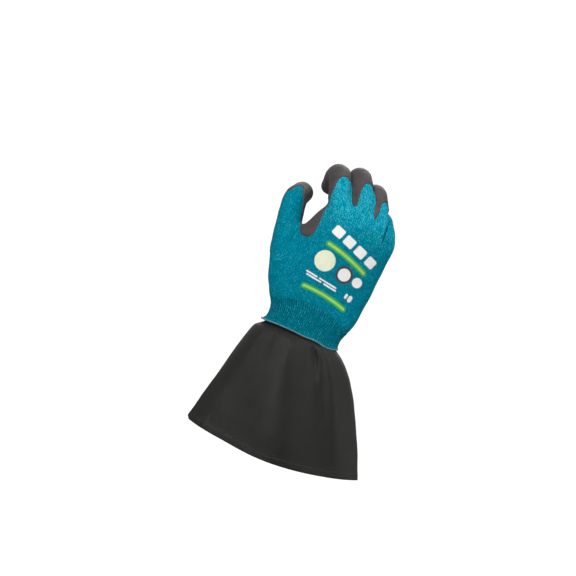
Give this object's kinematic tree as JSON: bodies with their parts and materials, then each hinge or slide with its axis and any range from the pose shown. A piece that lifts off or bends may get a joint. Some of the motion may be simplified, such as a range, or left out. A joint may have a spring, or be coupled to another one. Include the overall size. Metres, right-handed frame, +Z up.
{
  "type": "coated work glove",
  "caption": "Right-hand knitted work glove with a foam-coated palm and fingers, a ribbed wrist cuff and a flared cloth gauntlet.",
  "frame": {"origin": "middle of the wrist opening, in the plane of the knitted cuff's lower edge", "axes": "+Z up the forearm to the fingers, -Y towards the back of the hand, +X towards the little finger"},
  "size_m": [0.1814, 0.1097, 0.3077],
  "materials": {
    "teal_knit": "matte melange knit",
    "foam_coating": "matte foam coating",
    "teal_rib": "matte rib knit",
    "pale_thread": "matte overlocked thread",
    "black_cloth": "matte woven cloth"
  },
  "bodies": {
    "root": {"knit_hand": "teal_knit", "palm_coating": "foam_coating", "rib_cuff": "teal_rib", "overlock_edge": "pale_thread", "gauntlet": "black_cloth", "gauntlet_seam": "black_cloth"}
  },
  "joints": []
}
